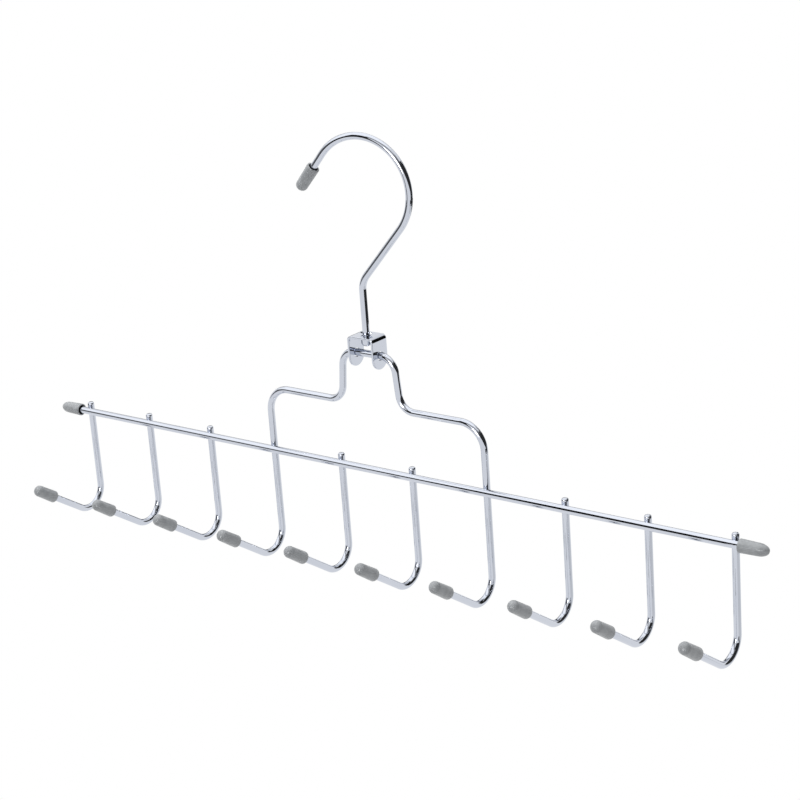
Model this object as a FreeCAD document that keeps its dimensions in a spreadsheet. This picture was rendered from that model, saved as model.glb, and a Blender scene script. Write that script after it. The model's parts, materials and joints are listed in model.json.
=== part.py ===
"""Scarf hanger: a swivel hook, a stamped clip and a welded wire frame with a row of capped hooks.

The origin is where a wardrobe rail carries the hook: the inside of its loop, on the swivel axis.
+X runs along the crossbar, the scarf hooks point to -Y and +Z is up. Sizes are in millimetres and degrees.
"""
import FreeCAD, Part
import math
import os

import Sketcher
from FreeCAD import Placement, Rotation, Vector

# Driving dimensions: name, value, what it measures
SIZES = (
    ("pitch", 40.0, "spacing of the scarf hooks along the crossbar"),
    ("bar_wire", 3.4, "diameter of the crossbar"),
    ("hook_wire", 3.2, "diameter of the wire of the yoke and the scarf hooks"),
    ("swivel_wire", 3.2, "diameter of the wire of the swivel hook"),
    ("weld_sink", 0.25, "how far an upright is pressed into the crossbar at its spot weld"),
    ("weld_gap", 0.02, "clearance in a weld seat"),
    ("stub_rise", 3.7, "top of an upright above the axis of the crossbar"),
    ("cut_round", 0.9, "rounding on a bare cut end"),
    ("hook_drop", 48.7, "lowest point of a scarf hook's axis below the axis of the crossbar"),
    ("hook_bend", 9.5, "bend radius of a scarf hook, on the wire's axis"),
    ("arm_angle", 34.5, "rise of a scarf hook's arm above the horizontal"),
    ("arm_bare", 20.2, "bare part of an arm, from its bend to its cap"),
    ("yoke_height", 52.9, "top run of the yoke above the axis of the crossbar"),
    ("shoulder_height", 29.1, "shoulders of the yoke above the axis of the crossbar"),
    ("shoulder_bend", 11.5, "bend radius at the shoulders"),
    ("neck_width", 30.4, "spacing of the yoke's necks, halfway down"),
    ("neck_angle", 5.5, "splay of a neck from the vertical"),
    ("neck_bend", 7.6, "bend radius between shoulder and neck"),
    ("top_bend", 7.6, "bend radius between neck and top run"),
    ("bracket_width", 14.0, "width of the clip over its ears"),
    ("bracket_depth", 10.0, "depth of the clip from front to back"),
    ("bracket_bend", 1.9, "outer bend radius of the clip"),
    ("sheet", 1.0, "thickness of the clip"),
    ("plate_rise", 8.6, "top of the clip above the axis of the yoke's top run"),
    ("ear_drop", 6.2, "bottom of the ears below that axis"),
    ("pivot_play", 0.35, "gap round the yoke in the ears"),
    ("swivel_play", 0.25, "gap round the shank in the clip"),
    ("overrun", 1.0, "how far a cut runs past the metal"),
    ("end_play", 0.15, "gap between the clip and the lugs or the head"),
    ("loop_bend", 23.8, "radius of the swivel hook's loop, on the wire's axis"),
    ("loop_offset", 3.0, "centre of the loop to the right of the swivel axis"),
    ("lean_angle", 40.6, "lean of the straight below the loop from the vertical"),
    ("lean_bend", 10.4, "bend radius between the straight and the shank"),
    ("shank_length", 20.0, "shank from its bend to the top of the clip"),
    ("tail_angle", 39.2, "lean of the hook's free end from the vertical"),
    ("tail_bare", 7.6, "straight bare wire from the loop to the cap"),
    ("turn_angle", 6.6, "turn of the hook in the clip, as photographed"),
    ("lug_span", 5.8, "width over the two lugs that are pinched out of the shank"),
    ("lug_height", 1.7, "height of a lug where it leaves the shank"),
    ("lug_thickness", 1.2, "thickness of a lug"),
    ("lug_tip", 0.5, "height of a lug's blunt tip"),
    ("head_width", 4.8, "diameter of the upset head under the clip"),
    ("head_height", 3.8, "height of that head"),
    ("head_round", 1.7, "corner radius round the bottom of that head"),
    ("bar_cap_gap", 2.0, "gap between the outermost upright and a crossbar cap"),
    ("cap_width", 5.8, "diameter of a cap at its mouth"),
    ("cap_tip_width", 5.4, "diameter of a cap where its round tip begins"),
    ("cap_length", 12.8, "length of a cap"),
    ("cap_round", 2.3, "corner radius at the tip of a cap"),
    ("cap_end", 2.0, "thickness of the closed end of a cap"),
    ("cap_rim", 0.25, "corner radius at the mouth of a cap"),
    ("cap_flare", 0.55, "widening of a cap's bore at its mouth"),
    ("cap_flare_depth", 2.0, "depth of that widening"),
    ("cap_play", 0.03, "gap between a cap and its wire"),
)
PLACES = 10
MIDDLE = (PLACES + 1) / 2
YOKE_PLACES = (PLACES // 2 - 1, PLACES // 2 + 2)

doc = FreeCAD.newDocument("ScarfHanger")
sheet = doc.addObject("Spreadsheet::Sheet", "Sizes")
for row, (alias, value, meaning) in enumerate(SIZES, start=1):
    sheet.set(f"A{row}", alias)
    sheet.set(f"B{row}", str(value))
    sheet.setAlias(f"B{row}", alias)
    sheet.set(f"C{row}", meaning)
doc.recompute()

# Formulas that several pieces share
WELD_OFFSET = "(Sizes.bar_wire / 2 + Sizes.hook_wire / 2 - Sizes.weld_sink)"
UPRIGHT = "(Sizes.hook_drop - Sizes.hook_bend)"
CAPPED = "(Sizes.cap_length - Sizes.cap_end - Sizes.cap_play)"
ARM = f"(Sizes.arm_bare + {CAPPED})"
YOKE_SPAN = f"({YOKE_PLACES[1] - YOKE_PLACES[0]} * Sizes.pitch)"
LOOP_DROP = "sqrt((Sizes.loop_bend - Sizes.swivel_wire / 2) ^ 2 - Sizes.loop_offset ^ 2)"
BENDS = "(Sizes.loop_bend + Sizes.lean_bend)"
STRAIGHT = (f"((Sizes.loop_offset - Sizes.lean_bend + {BENDS} * cos(Sizes.lean_angle * 1 deg))"
            " / sin(Sizes.lean_angle * 1 deg))")
SHANK_TOP = (f"({LOOP_DROP} + {STRAIGHT} * cos(Sizes.lean_angle * 1 deg)"
             f" + {BENDS} * sin(Sizes.lean_angle * 1 deg))")
PLATE_DROP = f"({SHANK_TOP} + Sizes.shank_length)"
BAR_CAP_MOUTH = f"({PLACES - MIDDLE} * Sizes.pitch + Sizes.hook_wire / 2 + Sizes.bar_cap_gap)"


def number(formula):
    """Value of a formula written in the sheet's names."""
    return float(sheet.evalExpression(formula))


def new_body(name, place=None):
    """An empty body for one sub-part, set at its place in the hanger."""
    body = doc.addObject("PartDesign::Body", name)
    body.Label = name
    body.Placement = place or Placement()
    return body


def new_sketch(body, name, role, shift="0"):
    """A sketch on one of the body's own origin planes, moved along that plane's normal."""
    sketch = body.newObject("Sketcher::SketchObject", name)
    plane = next(item for item in body.Origin.OriginFeatures if item.Role == role)
    sketch.AttachmentSupport = [(plane, "")]
    sketch.MapMode = "FlatFace"
    sketch.setExpression(".AttachmentOffset.Base.z", shift)
    return sketch


def dimension(sketch, kind, places, formula):
    """Add one dimension to a sketch and bind it to a formula."""
    value = number(formula)
    if kind == "Angle":
        value = math.radians(value)
    index = sketch.addConstraint(Sketcher.Constraint(kind, *places, value))
    sketch.setExpression(f"Constraints[{index}]", f"{formula} * 1 deg" if kind == "Angle" else formula)


def fix_point(sketch, geometry, end, x_formula, y_formula):
    """Hold a point at its distances from the sketch's origin."""
    for kind, formula in (("DistanceX", x_formula), ("DistanceY", y_formula)):
        dimension(sketch, kind, (-1, 1, geometry, end), formula)


def draw_circle(sketch, centre, diameter):
    """Draw a circle held by formulas."""
    middle = Vector(number(centre[0]), number(centre[1]), 0)
    index = sketch.addGeometry(Part.Circle(middle, Vector(0, 0, 1), number(diameter) / 2))
    fix_point(sketch, index, 3, *centre)
    dimension(sketch, "Diameter", (index,), diameter)


def wire_path(sketch, start, heading, steps):
    """Draw a wire's axis: straight runs (length,) and turns (radius, angle, side), side 1 to the left."""
    point = Vector(number(start[0]), number(start[1]), 0)
    angle = math.radians(heading)
    last = None
    for step in steps:
        ahead = Vector(math.cos(angle), math.sin(angle), 0)
        if len(step) == 1:
            finish = point + ahead * number(step[0])
            index = sketch.addGeometry(Part.LineSegment(point, finish))
            dimension(sketch, "Distance", (index,), step[0])
            ends = (1, 2)
        else:
            radius, side = number(step[0]), step[2]
            sweep = math.radians(number(step[1]))
            centre = point + Vector(-ahead.y, ahead.x, 0) * side * radius
            first = angle - side * math.pi / 2
            limits = sorted((first, first + side * sweep))
            circle = Part.Circle(centre, Vector(0, 0, 1), radius)
            index = sketch.addGeometry(Part.ArcOfCircle(circle, *limits))
            dimension(sketch, "Radius", (index,), step[0])
            dimension(sketch, "Angle", (index,), step[1])
            angle += side * sweep
            finish = centre + Vector(math.sin(angle), -math.cos(angle), 0) * side * radius
            ends = (1, 2) if side > 0 else (2, 1)
        if last is None:
            fix_point(sketch, index, ends[0], *start)
            sketch.addConstraint(Sketcher.Constraint("Vertical", index))
        else:
            sketch.addConstraint(Sketcher.Constraint("Tangent", *last, index, ends[0]))
        last = (index, ends[1])
        point = finish


def bent_wire(body, name, role, start, heading, steps, diameter, shift="0"):
    """Sweep a round wire along a path on one origin plane, from an upright start."""
    path = new_sketch(body, f"{name}_path", role, shift)
    wire_path(path, start, heading, steps)
    centre = (start[0], "0") if role == "XZ_Plane" else (shift, start[0])
    profile = new_sketch(body, f"{name}_profile", "XY_Plane", start[1])
    draw_circle(profile, centre, diameter)
    pipe = body.newObject("PartDesign::AdditivePipe", name)
    pipe.Profile = profile
    pipe.Spine = (path, [])
    return pipe


def outline(sketch, corners, rounds=()):
    """Draw a closed outline through corners held by formulas.

    rounds maps an edge, by the number of its first corner, to an arc in its place: (radius, side), where
    side 1 has the arc's centre on the left.
    """
    points = [Vector(number(x), number(y), 0) for x, y in corners]
    edges = []
    for first, start in enumerate(points):
        finish = points[(first + 1) % len(points)]
        if first in rounds:
            radius, side = number(rounds[first][0]), rounds[first][1]
            chord = finish - start
            left = Vector(-chord.y, chord.x, 0).normalize()
            rise = math.sqrt(max(radius ** 2 - chord.Length ** 2 / 4, 0))
            centre = (start + finish) / 2 + left * side * rise
            angles = [math.atan2(end.y - centre.y, end.x - centre.x) for end in (start, finish)]
            circle = Part.Circle(centre, Vector(0, 0, 1), radius)
            arc = Part.ArcOfCircle(circle, *angles[::side])
            edges.append((sketch.addGeometry(arc), (1, 2)[::side]))
        else:
            edges.append((sketch.addGeometry(Part.LineSegment(start, finish)), (1, 2)))
    for first, (index, ends) in enumerate(edges):
        following, following_ends = edges[(first + 1) % len(edges)]
        fix_point(sketch, index, ends[0], *corners[first])
        sketch.addConstraint(Sketcher.Constraint("Coincident", index, ends[1], following, following_ends[0]))
        if first in rounds:
            dimension(sketch, "Radius", (index,), rounds[first][0])


def revolve(body, name, corners, rounds=()):
    """Turn an outline of (radius, height) corners about the body's upright axis."""
    sketch = new_sketch(body, f"{name}_section", "XZ_Plane")
    outline(sketch, corners, rounds)
    turned = body.newObject("PartDesign::Revolution", name)
    turned.Profile = sketch
    turned.ReferenceAxis = (sketch, ["V_Axis"])
    turned.Angle = 360
    return turned


def drill(body, name, role, centre, diameter):
    """Cut a round hole right through the body, both ways from an origin plane."""
    sketch = new_sketch(body, f"{name}_circle", role)
    draw_circle(sketch, centre, diameter)
    return cut_through(body, name, sketch)


def cut_through(body, name, sketch):
    """Cut a sketch's outline right through the body, both ways."""
    pocket = body.newObject("PartDesign::Pocket", name)
    pocket.Profile = sketch
    pocket.SideType = "Symmetric"
    pocket.Type = "ThroughAll"
    return pocket


def place_along(place):
    """Position of one place of the row along the crossbar, as a formula."""
    return f"({place - MIDDLE} * Sizes.pitch)"


def scarf_hook_steps(upright):
    """Upright, bend and arm of a scarf hook, drawn downwards."""
    return ((upright,), ("Sizes.hook_bend", "(90 + Sizes.arm_angle)", -1), (ARM,))


def make_crossbar(place):
    """Straight wire with a shallow round seat behind it for every upright."""
    body = new_body("crossbar", place)
    section = new_sketch(body, "bar_section", "YZ_Plane")
    draw_circle(section, ("0", "0"), "Sizes.bar_wire")
    bar = body.newObject("PartDesign::Pad", "bar")
    bar.Profile = section
    bar.SideType = "Symmetric"
    bar.setExpression("Length", f"2 * ({BAR_CAP_MOUTH} + {CAPPED})")
    seat_width = "Sizes.hook_wire + 2 * Sizes.weld_gap"
    seat = drill(body, "weld_seat", "XY_Plane", (place_along(1), WELD_OFFSET), seat_width)
    seats = body.newObject("PartDesign::LinearPattern", "weld_seats")
    seats.Originals = [seat]
    seats.Direction = (seat.Profile[0], ["H_Axis"])
    seats.setExpression("Length", f"{PLACES - 1} * Sizes.pitch")
    seats.Occurrences = PLACES
    body.Tip = seats
    return body


def make_scarf_hook(name, place):
    """J-shaped wire, drawn down from the cut top of its stub."""
    body = new_body(name, place)
    steps = scarf_hook_steps(f"(Sizes.stub_rise + {UPRIGHT})")
    wire = bent_wire(body, f"{name}_wire", "YZ_Plane", ("0", "0"), -90, steps, "Sizes.hook_wire")
    doc.recompute()
    rounded = body.newObject("PartDesign::Fillet", f"{name}_cut")
    top = max(range(len(wire.Shape.Edges)), key=lambda item: wire.Shape.Edges[item].CenterOfMass.z)
    rounded.Base = (wire, [f"Edge{top + 1}"])
    rounded.setExpression("Radius", "Sizes.cut_round")
    return body


def make_yoke(place):
    """One wire from scarf hook to scarf hook by way of the shoulders, the necks and the top run."""
    body = new_body("yoke", place)
    splay, turned = "(Sizes.neck_angle * 1 deg)", "(90 - Sizes.neck_angle)"
    bends = "(Sizes.neck_bend + Sizes.top_bend)"
    neck = (f"((Sizes.yoke_height - Sizes.shoulder_height - {bends} * (1 - sin({splay})))"
            f" / cos({splay}))")
    top_half = f"(Sizes.neck_width / 2 - Sizes.top_bend * cos({splay}) - {neck} / 2 * sin({splay}))"
    neck_reach = f"({bends} * cos({splay}) + {neck} * sin({splay}))"
    run_in = f"({YOKE_SPAN} / 2 - Sizes.shoulder_bend - {neck_reach} - {top_half})"
    leg = ("(Sizes.shoulder_height - Sizes.shoulder_bend)",)
    top_run = (f"(2 * {top_half})",)
    shoulder = ("Sizes.shoulder_bend", "90", -1)
    neck_turn = ("Sizes.neck_bend", turned, 1)
    top_turn = ("Sizes.top_bend", turned, -1)
    half = (leg, shoulder, (run_in,), neck_turn, (neck,), top_turn)
    start = (f"(-{YOKE_SPAN} / 2)", "(-Sizes.yoke_height)")
    bent_wire(body, "frame", "XZ_Plane", start, 90, half + (top_run,) + half[::-1], "Sizes.hook_wire")
    lower = bent_wire(body, "left_hook", "YZ_Plane", ("0", start[1]), -90, scarf_hook_steps(UPRIGHT),
                      "Sizes.hook_wire", shift=start[0])
    pair = body.newObject("PartDesign::Mirrored", "both_hooks")
    pair.Originals = [lower]
    pair.MirrorPlane = (next(item for item in body.Origin.OriginFeatures if item.Role == "YZ_Plane"), [""])
    body.Tip = pair
    return body


def make_bracket(place):
    """Strip bent to a U over the yoke's top run, with round-ended ears, two ear holes and a shank hole."""
    body = new_body("swivel_bracket", place)
    half, rise, low = "Sizes.bracket_width / 2", "Sizes.plate_rise", "-Sizes.ear_drop"
    inner, under = f"({half} - Sizes.sheet)", f"({rise} - Sizes.sheet)"
    bend, inner_bend = "Sizes.bracket_bend", "(Sizes.bracket_bend - Sizes.sheet)"
    bend_foot = f"({rise} - {bend})"
    section = new_sketch(body, "strip_section", "XZ_Plane")
    outline(section, (
        (inner, low),
        (half, low),
        (half, bend_foot),
        (f"({half} - {bend})", rise),
        (f"({bend} - {half})", rise),
        (f"-{half}", bend_foot),
        (f"-{half}", low),
        (f"-{inner}", low),
        (f"-{inner}", bend_foot),
        (f"({bend} - {half})", under),
        (f"({half} - {bend})", under),
        (inner, bend_foot),
    ), {2: (bend, 1), 4: (bend, 1), 8: (inner_bend, -1), 10: (inner_bend, -1)})
    strip = body.newObject("PartDesign::Pad", "strip")
    strip.Profile = section
    strip.SideType = "Symmetric"
    strip.setExpression("Length", "Sizes.bracket_depth")
    ear = "Sizes.bracket_depth / 2"
    ear_centre, past_ear = f"({ear} - Sizes.ear_drop)", f"({ear} + Sizes.overrun)"
    ends = new_sketch(body, "ear_ends", "YZ_Plane")
    outline(ends, (
        (f"-{ear}", ear_centre),
        ("0", low),
        (ear, ear_centre),
        (past_ear, ear_centre),
        (past_ear, f"({low} - Sizes.overrun)"),
        (f"-{past_ear}", f"({low} - Sizes.overrun)"),
        (f"-{past_ear}", ear_centre),
    ), {0: (ear, 1), 1: (ear, 1)})
    cut_through(body, "round_ears", ends)
    drill(body, "ear_holes", "YZ_Plane", ("0", "0"), "Sizes.hook_wire + 2 * Sizes.pivot_play")
    drill(body, "shank_hole", "XY_Plane", ("0", "0"), "Sizes.swivel_wire + 2 * Sizes.swivel_play")
    return body


def make_swivel_hook(place):
    """Question-mark hook with two pinched lugs over the clip and an upset head under it, all one wire."""
    body = new_body("swivel_hook", place)
    plate_top = f"(-{PLATE_DROP})"
    under = f"({plate_top} - Sizes.sheet - Sizes.end_play)"
    wire_foot = f"({under} - Sizes.head_height / 2)"
    tail = f"(Sizes.tail_bare + {CAPPED})"
    steps = ((f"(-{SHANK_TOP} - {wire_foot})",), ("Sizes.lean_bend", "Sizes.lean_angle", -1), (STRAIGHT,),
             ("Sizes.loop_bend", "(180 + Sizes.lean_angle - Sizes.tail_angle)", 1), (tail,))
    bent_wire(body, "hook_wire", "XZ_Plane", ("0", wire_foot), 90, steps, "Sizes.swivel_wire")
    foot, reach = f"({plate_top} + Sizes.end_play)", "Sizes.lug_span / 2"
    top, waist = f"({foot} + Sizes.lug_height)", "Sizes.swivel_wire / 2"
    tip_foot = f"({foot} + Sizes.lug_height / 2 - Sizes.lug_tip / 2)"
    tip_top = f"({tip_foot} + Sizes.lug_tip)"
    lugs = new_sketch(body, "lug_outline", "XZ_Plane")
    outline(lugs, (
        (f"-{waist}", foot),
        (waist, foot),
        (reach, tip_foot),
        (reach, tip_top),
        (waist, top),
        (f"-{waist}", top),
        (f"-{reach}", tip_top),
        (f"-{reach}", tip_foot),
    ))
    pinched = body.newObject("PartDesign::Pad", "pinched_lugs")
    pinched.Profile = lugs
    pinched.SideType = "Symmetric"
    pinched.setExpression("Length", "Sizes.lug_thickness")
    head, bottom = "Sizes.head_width / 2", f"({under} - Sizes.head_height)"
    revolve(body, "head", (
        ("0", bottom),
        (f"({head} - Sizes.head_round)", bottom),
        (head, f"({bottom} + Sizes.head_round)"),
        (head, under),
        ("0", under),
    ), {1: ("Sizes.head_round", 1)})
    return body


def make_cap(name, place, wire):
    """Vinyl cap with a closed round tip, its mouth at the body's origin and its axis up."""
    body = new_body(name, place)
    mouth, tip, length = "Sizes.cap_width / 2", "Sizes.cap_tip_width / 2", "Sizes.cap_length"
    bore = f"({wire} / 2 + Sizes.cap_play)"
    corners = (
        (f"({bore} + Sizes.cap_flare)", "0"),
        (f"({mouth} - Sizes.cap_rim)", "0"),
        (mouth, "Sizes.cap_rim"),
        (tip, f"({length} - Sizes.cap_round)"),
        (f"({tip} - Sizes.cap_round)", length),
        ("0", length),
        ("0", f"({length} - Sizes.cap_end)"),
        (bore, f"({length} - Sizes.cap_end)"),
        (bore, "Sizes.cap_flare_depth"),
    )
    revolve(body, f"{name}_sleeve", corners, {1: ("Sizes.cap_rim", 1), 3: ("Sizes.cap_round", 1)})
    return body


def cap_on_arm(crossing):
    """Place of a scarf hook's cap, from the point where its upright crosses the crossbar's height."""
    rise = math.radians(number("Sizes.arm_angle"))
    bend, bare = number("Sizes.hook_bend"), number("Sizes.arm_bare")
    forward = bend + bend * math.sin(rise) + bare * math.cos(rise)
    height = bare * math.sin(rise) - bend * math.cos(rise) - number(UPRIGHT)
    lean = Rotation(Vector(1, 0, 0), 90 - math.degrees(rise))
    return Placement(crossing + Vector(0, -forward, height), lean)


def cap_on_loop(turn):
    """Place of the swivel hook's cap, where the bare tail ends."""
    tail = math.radians(number("Sizes.tail_angle"))
    loop, bare = number("Sizes.loop_bend"), number("Sizes.tail_bare")
    across = number("Sizes.loop_offset") - loop * math.cos(tail) - bare * math.sin(tail)
    height = loop * math.sin(tail) - bare * math.cos(tail) - number(LOOP_DROP)
    point_down = Rotation(Vector(0, 1, 0), 180 + math.degrees(tail))
    return Placement(turn.multVec(Vector(across, 0, height)), turn * point_down)


def build():
    """Make every sub-part at its place and return the bodies."""
    pivot = Vector(0, 0, -number(f"{PLATE_DROP} + Sizes.plate_rise"))
    bar = pivot - Vector(0, number(WELD_OFFSET), number("Sizes.yoke_height"))
    turn = Rotation(Vector(0, 0, 1), number("Sizes.turn_angle"))
    upright = Rotation()
    bodies = [
        make_swivel_hook(Placement(Vector(), turn)),
        make_cap("swivel_hook_cap", cap_on_loop(turn), "Sizes.swivel_wire"),
        make_bracket(Placement(pivot, upright)),
        make_yoke(Placement(pivot, upright)),
        make_crossbar(Placement(bar, upright)),
    ]
    for side, name in ((-1, "bar_cap_left"), (1, "bar_cap_right")):
        mouth = bar + Vector(side * number(BAR_CAP_MOUTH), 0, 0)
        outward = Rotation(Vector(0, 1, 0), side * 90)
        bodies.append(make_cap(name, Placement(mouth, outward), "Sizes.bar_wire"))
    for place in range(1, PLACES + 1):
        crossing = Vector(number(place_along(place)), 0, bar.z)
        if place not in YOKE_PLACES:
            top = crossing + Vector(0, 0, number("Sizes.stub_rise"))
            bodies.append(make_scarf_hook(f"scarf_hook_{place}", Placement(top, upright)))
        bodies.append(make_cap(f"hook_cap_{place}", cap_on_arm(crossing), "Sizes.hook_wire"))
    return bodies


def check_and_export(bodies):
    """Stop on anything that failed to build, then write one file for each sub-part."""
    for item in doc.Objects:
        if "Invalid" in item.State or "Error" in item.State:
            raise RuntimeError(f"{item.Name} is {item.State}")
    os.makedirs("parts", exist_ok=True)
    for body in bodies:
        if body.Shape.isNull() or not body.Shape.isValid() or len(body.Shape.Solids) != 1:
            raise RuntimeError(f"{body.Label} is not one valid solid")
        body.Shape.exportStep(os.path.join("parts", f"{body.Label}.step"))
        print(body.Label, round(body.Shape.Volume, 1), body.Shape.BoundBox)


parts = build()
doc.recompute()
check_and_export(parts)
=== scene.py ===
"""Scarf hanger: plated wire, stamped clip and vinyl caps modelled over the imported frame, with a plain white stage."""
import json
import math

import bpy
from mathutils import Matrix, Vector


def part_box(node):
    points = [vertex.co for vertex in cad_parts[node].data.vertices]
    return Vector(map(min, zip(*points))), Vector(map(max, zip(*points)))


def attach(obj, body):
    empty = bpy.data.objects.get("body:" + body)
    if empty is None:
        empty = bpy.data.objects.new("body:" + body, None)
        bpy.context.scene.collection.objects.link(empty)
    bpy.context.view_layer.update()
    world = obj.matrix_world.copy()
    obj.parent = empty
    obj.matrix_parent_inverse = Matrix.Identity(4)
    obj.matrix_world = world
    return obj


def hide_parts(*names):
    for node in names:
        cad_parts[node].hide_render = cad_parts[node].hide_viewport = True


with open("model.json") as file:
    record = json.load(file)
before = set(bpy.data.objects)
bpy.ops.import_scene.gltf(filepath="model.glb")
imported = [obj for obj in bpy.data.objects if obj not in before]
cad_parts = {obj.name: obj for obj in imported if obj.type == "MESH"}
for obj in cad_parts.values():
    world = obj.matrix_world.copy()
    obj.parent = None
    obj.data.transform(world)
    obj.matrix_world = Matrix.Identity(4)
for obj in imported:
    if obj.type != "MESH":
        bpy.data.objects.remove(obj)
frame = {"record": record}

bl_info = {
    "name": "Scarf Hanger",
    "version": (1, 0, 0),
    "blender": (4, 5, 0),
    "location": "View3D > Sidebar > Scarf Hanger",
    "description": "Models a chrome wire scarf hanger and the stage that it is photographed on",
    "category": "Object",
}

MM = 0.001
X, Y, Z = Vector((1, 0, 0)), Vector((0, 1, 0)), Vector((0, 0, 1))
QUARTER = math.pi / 2
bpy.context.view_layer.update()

# Places of the row that have a scarf hook of their own, and all places; the yoke's ends fill the fourth and seventh
HOOK_PLACES = (1, 2, 3, 5, 6, 8, 9, 10)
CAP_PLACES = range(1, 11)

# Edges flatter than this angle are shaded smooth, and points nearer than this gap are merged
SMOOTH_ANGLE = math.radians(40)
MERGE_GAP = 0.002 * MM
# Points this near to an edge are taken to lie on it
ON_EDGE = 0.01 * MM
# Sides round the clip's holes and round a cap
CLIP_SIDES, CAP_SIDES = 64, 48
# Steps of the roundings and bends: bare cut end, clip bend, broken edge, head, cap rim and cap tip
CUT_STEPS, BEND_STEPS, EDGE_STEPS, HEAD_STEPS, RIM_STEPS, TIP_STEPS = 6, 10, 3, 8, 5, 9
# Lug: root from the shank's axis per wire width, width left at its tip and along its top, rounding per thickness
LUG_ROOT, LUG_TIP_WIDTH, LUG_TOP_WIDTH, LUG_EDGE = 0.3, 0.8, 0.5, 0.14
# Broken edge round the top of the hook's upset head
HEAD_EDGE = 0.1 * MM
# Knee of a cap's flared mouth, as shares of the flare's depth and widening
KNEE_DEPTH, KNEE_WIDTH = 0.3, 0.45
# Rings along a cap's side, as shares of its length
SIDE_RINGS = (0.25, 0.5, 0.75)

# Sockets of a node that mixes colours: its share, the two colours and the result
SHARE, COLOUR_A, COLOUR_B, MIXED = 0, 6, 7, 2

# Strength of the white room where it lights, and where it is seen
ROOM_LIGHT, SEEN_WHITE = 0.55, 1.0
# Floor's side in metres, and its grey where it is lit
FLOOR_SIZE, FLOOR_GREY = 30, 0.8
# Camera's sensor in millimetres, and how far it sees in metres
SENSOR, SIGHT = 36, 100

# Point that the lamps and the cards stand round
MIDDLE = Vector((0, 0, -0.1))
# Soft lamps: name, azimuth, elevation, level distance, side, power and the level of its face in the plating
LAMPS = (
    ("overhead", -110, 75, 0.43, 2.2, 26.0, 1.4),
    ("left_softbox", -60, 45, 1.27, 1.6, 14.0, 1.4),
    ("front_lamp", 0, 10, 1.2, 0.3, 1.0, 14.0),
)
# Cards that the plating mirrors: name, distance, grey level, then azimuth, lower and upper elevation of each side
CARDS = (
    ("card_right", 0.51, 0.035, (84, -18.5, 44), (136, -19, 40)),
    ("card_right_low", 0.505, 0.004, (66, -19.5, -11), (100, -19.5, -11)),
    ("card_right_back", 0.505, 0.004, (100, -19.5, -11), (136, -19.5, -11)),
    ("card_right_foot", 0.55, 0.80, (67, -30, -15), (133, -30, -15)),
    ("card_near", 0.22, 0.004, (135, -11.5, 42), (150, -11.5, 42)),
    ("card_near_back", 0.22, 0.16, (150, -11.5, 42), (159, -11.5, 42)),
    ("card_near_low", 0.22, 0.06, (159, -11.5, 5), (185, -11.5, 5)),
    ("card_front_right", 1.3, 0.03, (32, 18, 52), (84, -5, 52)),
    ("card_back_right", 1.3, 0.03, (98, -16, 40), (152, -4, 26)),
    ("card_back_left", 1.4, 0.05, (-165, -2, 13), (-120, -2, 13)),
    ("card_front_left", 0.8, 0.01, (-36.8, -9, 38), (-16, -10, 40)),
    ("card_horizon", 1.5, 0.15, (-76, -8, 16), (-36.8, -8, 18)),
    ("card_top_front", 1.2, 0.35, (-20, 30, 52), (75, 34, 52)),
)


def box_centre(node):
    """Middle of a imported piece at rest."""
    low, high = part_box(node)
    return (low + high) / 2


def box_size(node):
    """Width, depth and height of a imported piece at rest."""
    low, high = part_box(node)
    return high - low


def joint_place(name):
    """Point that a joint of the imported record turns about."""
    joint = next(item for item in frame["record"]["behaviour"]["joints"] if item["name"] == name)
    return Vector(joint["pos_m"])


def srgb(text):
    """Linear colour of an sRGB hex value."""
    parts = [int(text[place:place + 2], 16) / 255 for place in (1, 3, 5)]
    return tuple(part / 12.92 if part <= 0.04045 else ((part + 0.055) / 1.055) ** 2.4 for part in parts)


def length(name, description, size):
    """A length property, its default given in millimetres."""
    return bpy.props.FloatProperty(name=name, description=description, default=size * MM, min=0, precision=5,
                                   subtype="DISTANCE", unit="LENGTH")


def angle(name, description, degrees):
    """An angle property, its default given in degrees."""
    return bpy.props.FloatProperty(name=name, description=description, default=math.radians(degrees),
                                   subtype="ANGLE", unit="ROTATION")


def colour(name, description, text):
    """A colour property, its default given as an sRGB hex value."""
    return bpy.props.FloatVectorProperty(name=name, description=description, default=srgb(text), min=0, max=1,
                                         size=3, subtype="COLOR")


class HangerWire(bpy.types.PropertyGroup):
    """Sizes of the bent and straight wires."""
    sides: bpy.props.IntProperty(name="Sides", description="Flat sides round a wire", default=32, min=8)
    bend_step: angle("Bend step", "Turn between two rings of a bend", 4)
    hold: length("Hold", "Rings this near to the ends of a straight run", 1.5)
    cut_round: length("Cut end", "Rounding on a bare cut end", 0.9)
    bar_wire: length("Crossbar wire", "Diameter of the crossbar", 3.4)
    hook_wire: length("Hook wire", "Diameter of the yoke and the scarf hooks", 3.2)
    stub_rise: length("Stub", "Top of an upright above the axis of the crossbar", 3.7)
    hook_drop: length("Hook drop", "Lowest point of a scarf hook's axis below the crossbar", 48.7)
    hook_bend: length("Hook bend", "Bend radius of a scarf hook", 9.5)
    arm_rise: angle("Arm rise", "Angle of a scarf hook's arm above the horizontal", 34.5)
    arm_bare: length("Bare arm", "Straight arm of a scarf hook, from its bend to its cap", 20.2)
    yoke_height: length("Yoke height", "Top run of the yoke above the crossbar", 52.9)
    shoulder_height: length("Shoulder height", "Shoulders of the yoke above the crossbar", 29.1)
    shoulder_bend: length("Shoulder bend", "Bend radius at the shoulders", 11.5)
    neck_width: length("Neck width", "Spacing of the yoke's necks, halfway down", 30.4)
    neck_splay: angle("Neck splay", "Angle of a neck from the vertical", 5.5)
    neck_bend: length("Neck bend", "Bend radius between shoulder and neck", 7.6)
    top_bend: length("Top bend", "Bend radius between neck and top run", 7.6)


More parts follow.
